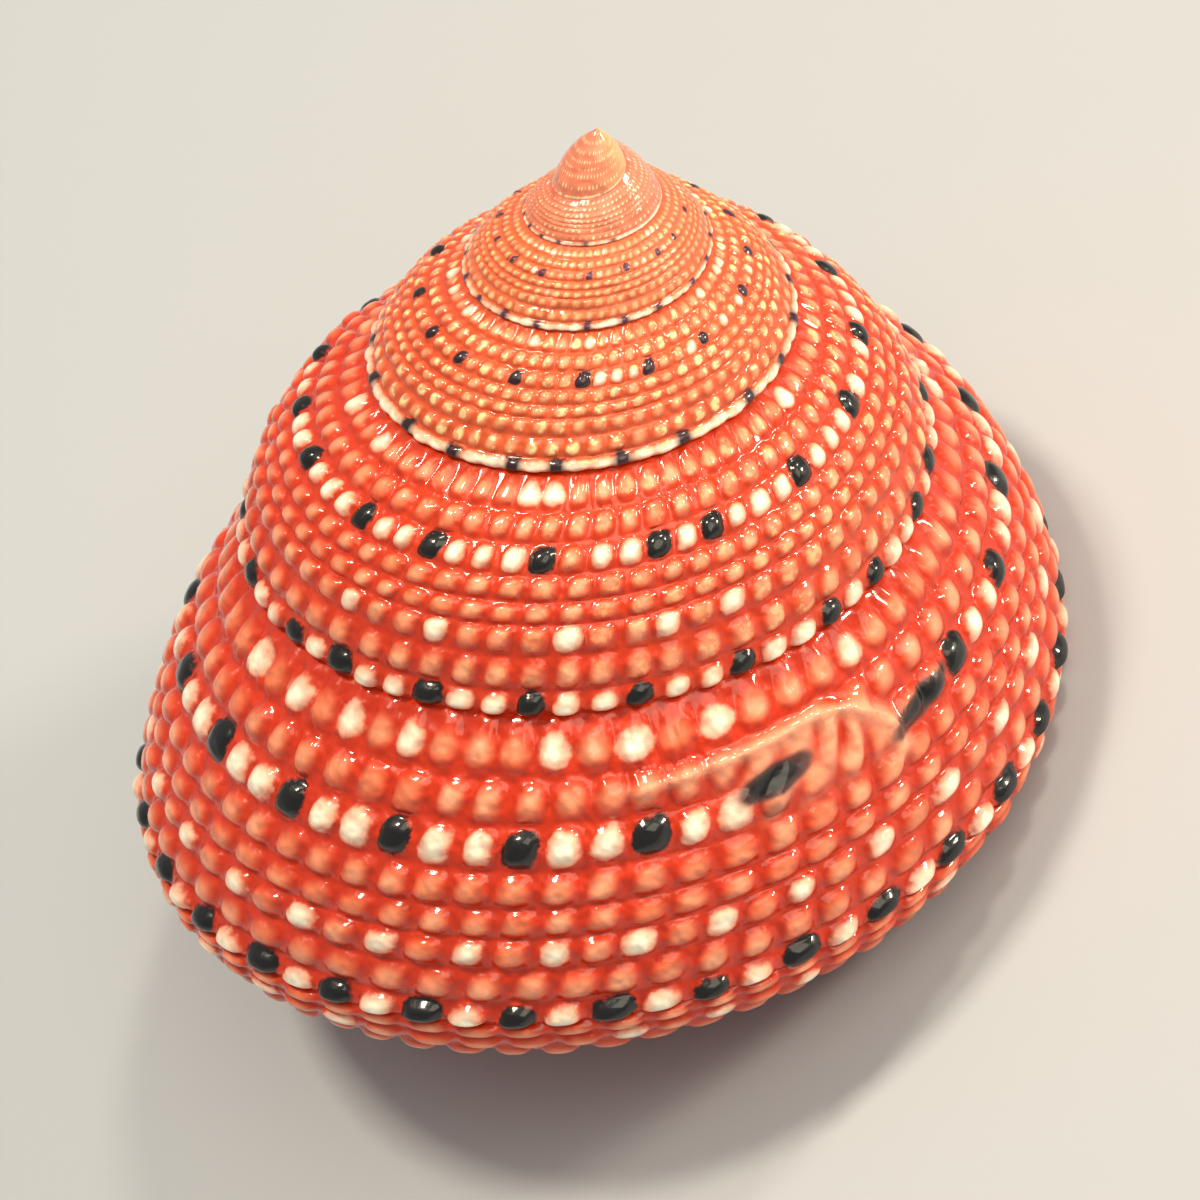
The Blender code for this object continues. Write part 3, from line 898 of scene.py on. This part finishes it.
def outside_finish(look):
    """Red beads on darker cords, paler towards the tip, with white and black beads. The cords' darker
    grooves are painted shade, and the bead tops carry painted sheen and sparkles.
    """
    finish = Finish("shell_outside")
    foot, pale, black, tint = (finish.attribute(name) for name in ("foot", "pale", "black", "tint"))
    turn, patch, mended = (finish.attribute(name) for name in ("turn", "patch", "mended"))
    smear = finish.attribute("smear")
    mottle = finish.noise(1500.0, 3.0)
    broad = finish.noise(260.0)
    # Grooves darker than the bead tops: painted shade between the beads
    up = 1 - foot.step(0.1, 1.0)
    red = finish.mix(up, tuple(look.groove_shade_colour), tuple(look.bead_colour))
    # Salmon on the bead tops: partly each bead's own tint, partly painted sheen
    tint_and_painted_sheen = (0.34 + tint.step(0.1, 1.0) * 0.45 + mottle.step(0.42, 0.66) * 0.45) * up
    red = finish.mix(tint_and_painted_sheen, red, colour(250, 166, 128))
    # On the spire as well the grooves are darker than the bead tops: painted shade
    orange = finish.mix(up, colour(224, 104, 56), colour(248, 172, 124))
    fade = (1 - turn.step(2.2, 5.6)) * 0.9 + (broad - 0.5) * 0.5
    red = finish.mix(fade.step(0.0, 1.0), red, orange)
    bright = (up * (0.7 * tint + 0.7 * mottle)).step(0.3, 0.6)
    young = finish.mix(bright, colour(230, 130, 98), colour(254, 218, 172))
    suture = 1 - finish.attribute("cord").step(0.1, 0.9)
    young = finish.mix(suture * 0.7, young, colour(212, 104, 84))
    red = finish.mix(turn.step(1.4, 2.9), young, red)
    # The mended patch's own salmon, with painted highlight on its fold crests and raised rim
    red = finish.mix(mended * (0.7 + 0.5 * mottle), red, colour(250, 166, 130))
    fine = finish.noise(4500.0)
    # Painted sparkles: small cream highlights on the bead tops of the middle whorls
    painted_sparkles = fine.step(0.52, 0.58) * foot.step(0.9, 0.5) * turn.step(2.2, 3.2)
    painted_sparkles = painted_sparkles * (1 - turn.step(4.0, 4.9))
    red = finish.mix(painted_sparkles * 0.8, red, colour(255, 226, 160))
    spire = 1 - turn.step(2.4, 4.6)
    edge = foot + 0.6 * (mottle - 0.5) + 0.5 * (fine - 0.5) + 0.15 * tint
    edge = edge + spire * (0.8 * fine - 0.25)
    cream = finish.mix(edge.step(0.2, 0.9), tuple(look.pale_colour), colour(246, 176, 146))
    white = (1 - edge.step(0.76, 1.06)) * pale * (1 - patch) * turn.step(0.9, 1.5)
    red = finish.mix(white, red, cream)
    dusk = finish.mix(turn.step(2.6, 4.2), colour(86, 40, 62), tuple(look.black_colour))
    black = (1 - (edge - 0.2 * mottle).step(0.92, 1.1)) * black * (1 - patch) * turn.step(1.2, 1.8)
    outside = finish.mix(black, red, dusk)
    blot = finish.mix(smear.step(0.5, 1.1), colour(104, 62, 56), tuple(look.black_colour))
    outside = finish.mix((smear + 0.5 * (mottle - 0.5)).step(0.35, 0.7), outside, blot)
    tip = finish.mix(turn.step(0.1, 0.7), colour(246, 212, 140), outside)
    finish.feed(finish.shader.inputs["Base Color"], tip)
    finish.feed(finish.shader.inputs["Roughness"], 0.25 + 0.25 * mottle)
    finish.shader.inputs["Specular IOR Level"].default_value = 0.25
    finish.shader.inputs["Coat Weight"].default_value = 0.85
    finish.shader.inputs["Coat Roughness"].default_value = 0.09
    height = finish.streaks(3.0, 0.35) * 0.25 + finish.noise(3600.0) * 0.6
    height = height + finish.noise(2600.0, 1.0) * (3.6 - 2.6 * black)
    bumps = finish.node("ShaderNodeBump", None, Strength=0.5, Distance=0.00009, Height=height)
    finish.feed(finish.shader.inputs["Normal"], bumps.outputs["Normal"])
    return finish.material


def navel_finish():
    """White at the rim and salmon deeper in."""
    finish = Finish("shell_navel")
    deep = finish.attribute("deep")
    mottle = finish.noise(1500.0, 3.0)
    share = (deep + 0.3 * (mottle - 0.5)).step(0.02, 0.5)
    wall = finish.mix(share, colour(250, 236, 214), colour(232, 170, 142))
    finish.feed(finish.shader.inputs["Base Color"], wall)
    finish.shader.inputs["Roughness"].default_value = 0.35
    finish.shader.inputs["Coat Weight"].default_value = 0.3
    return finish.material


def mouth_finish():
    """White porcelain inside the lip and mother-of-pearl behind it, with the beads' colours
    along the very edge."""
    finish = Finish("shell_mouth")
    behind, pale, black = (finish.attribute(name) for name in ("behind", "pale", "black"))
    before = finish.attribute("whorl_before")
    mottle = finish.noise(1500.0, 3.0)
    sheen = finish.noise(420.0).step(0.35, 0.65)
    pearl = finish.mix(sheen, colour(240, 226, 212), colour(226, 232, 224))
    lining = finish.mix(behind.step(0.02, 0.12), colour(252, 240, 222), pearl)
    edge = finish.mix(pale, colour(206, 48, 18), colour(250, 232, 208))
    edge = finish.mix(black, edge, colour(16, 16, 18))
    colours = finish.mix((behind + 0.002 * (mottle - 0.5)).step(0.0008, 0.0035), edge, lining)
    glaze = (1 - behind.step(0.0, 0.03)) * before * 0.8
    colours = finish.mix(glaze, colours, colour(232, 150, 120))
    finish.feed(finish.shader.inputs["Base Color"], colours)
    finish.feed(finish.shader.inputs["Roughness"], 0.25 + 0.1 * mottle)
    finish.shader.inputs["Coat Weight"].default_value = 0.7
    finish.shader.inputs["Coat Roughness"].default_value = 0.06
    return finish.material


def finish_outside(piece):
    """Give a piece the outside's material, which is made once."""
    made = bpy.data.materials.get("shell_outside")
    piece.data.materials.append(made or outside_finish(bpy.context.scene.shell))


# Camera, in the shell's own space: its bearing and height about the axis, its roll, its
# distance from the tip, and where the tip is in the photograph
CAMERA_BEARING = 155.6
CAMERA_HEIGHT = 36.6
CAMERA_ROLL = 3.63
CAMERA_DISTANCE = 126.7
CAMERA_AIM_DEPTH = 0.2
PHOTO_SIZE = 1200
TIP_IN_PHOTO = (598, 137)
PIXEL_MM = 0.019
SENSOR = 36.0

# Lamps: name, direction as the camera sees it, size in metres and power in watts
LAMPS = (
    ("light_left", (-1.0, 1.0, 1.0), 0.04, 0.40),
    ("light_right", (1.0, 0.9, 1.0), 0.04, 0.38),
    ("light_top", (0.05, 1.5, 0.8), 0.03, 0.20),
    ("light_fill", (0.0, 0.3, 1.0), 0.16, 0.22),
)
LAMP_DISTANCE = 0.25
LAMP_COLOUR = (1.0, 0.90, 0.70)
SKY_COLOUR, SKY_STRENGTH = (1.0, 0.97, 0.93, 1.0), 0.32


def camera_matrix():
    """The camera stands on the line through the tip and turns until the tip is where the
    photograph has it."""
    bearing, height, roll = (math.radians(a) for a in (CAMERA_BEARING, CAMERA_HEIGHT, CAMERA_ROLL))
    level = math.cos(height)
    back = np.array((level * math.cos(bearing), level * math.sin(bearing), math.sin(height)))
    right = unit(np.cross((0.0, 0.0, 1.0), back))
    up = np.cross(back, right)
    cosine, sine = math.cos(roll), math.sin(roll)
    right, up = cosine * right - sine * up, cosine * up + sine * right
    place = np.array((0.0, 0.0, -CAMERA_AIM_DEPTH)) + CAMERA_DISTANCE * back
    far = CAMERA_DISTANCE / PIXEL_MM
    x, y = (PHOTO_SIZE / 2 - pixel for pixel in TIP_IN_PHOTO)
    ahead = -far * back + x * right - y * up
    back = -unit(ahead)
    right = unit(right - (right @ back) * back)
    up = np.cross(back, right)
    turned = rest_turn() @ np.stack((right, up, back), axis=1)
    matrix = Matrix(turned.tolist()).to_4x4()
    matrix.translation = Vector((rest_turn() @ place + TIP) * MM)
    return matrix


class SHELL_OT_stage(bpy.types.Operator):
    """Add the floor, the lights and the camera"""

    bl_idname = "shell.stage"
    bl_label = "Stage"

    def execute(self, context):
        scene = context.scene
        view = bpy.data.cameras.new("camera")
        view.sensor_width = SENSOR
        view.lens = SENSOR * CAMERA_DISTANCE / PIXEL_MM / PHOTO_SIZE
        view.clip_start, view.clip_end = 0.01, 10.0
        camera = bpy.data.objects.new("camera", view)
        camera.matrix_world = camera_matrix()
        scene.collection.objects.link(camera)
        scene.camera = camera

        mesh = bpy.data.meshes.new("floor")
        mesh.from_pydata([(-1, -1, 0), (1, -1, 0), (1, 1, 0), (-1, 1, 0)], [], [(0, 1, 2, 3)])
        floor = bpy.data.objects.new("floor", mesh)
        scene.collection.objects.link(floor)
        finish = Finish("floor")
        finish.shader.inputs["Base Color"].default_value = scene.shell.floor_colour
        finish.shader.inputs["Roughness"].default_value = 0.7
        mesh.materials.append(finish.material)

        frame_of_camera = np.array(camera.matrix_world)[:3, :3]
        for name, way, size, power in LAMPS:
            lamp = bpy.data.lights.new(name, "AREA")
            lamp.size = size
            lamp.energy = power * scene.shell.light
            lamp.color = LAMP_COLOUR
            light = bpy.data.objects.new(name, lamp)
            direction = Vector(frame_of_camera @ unit(np.array(way)))
            light.location = direction * LAMP_DISTANCE
            light.rotation_euler = direction.to_track_quat("Z", "Y").to_euler()
            scene.collection.objects.link(light)
        world = bpy.data.worlds.new("studio")
        world.use_nodes = True
        sky = world.node_tree.nodes["Background"]
        sky.inputs["Color"].default_value = SKY_COLOUR
        sky.inputs["Strength"].default_value = SKY_STRENGTH
        scene.world = world
        scene.view_settings.view_transform = "Standard"
        return {"FINISHED"}


STEPS = (SHELL_OT_whorls, SHELL_OT_base, SHELL_OT_navel, SHELL_OT_mouth, SHELL_OT_stage)


class SHELL_PT_shell(bpy.types.Panel):
    """Steps that build the shell, and its sizes and colours"""

    bl_idname = "SHELL_PT_shell"
    bl_label = "Strawberry top shell"
    bl_space_type = "VIEW_3D"
    bl_region_type = "UI"
    bl_category = "Shell"

    def draw(self, context):
        for step in STEPS:
            self.layout.operator(step.bl_idname)
        for name in ShellLook.__annotations__:
            self.layout.prop(context.scene.shell, name)


def register():
    """Register every class and give each scene its settings."""
    for item in (ShellLook, *STEPS, SHELL_PT_shell):
        bpy.utils.register_class(item)
    bpy.types.Scene.shell = PointerProperty(type=ShellLook)


def unregister():
    """Undo what register does."""
    del bpy.types.Scene.shell
    for item in (SHELL_PT_shell, *reversed(STEPS), ShellLook):
        bpy.utils.unregister_class(item)


def main():
    """Build everything."""
    register()
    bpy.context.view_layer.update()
    bpy.ops.shell.whorls()
    bpy.ops.shell.base()
    bpy.ops.shell.navel()
    bpy.ops.shell.mouth()
    bpy.ops.shell.stage()


if __name__ == "__main__":
    main()
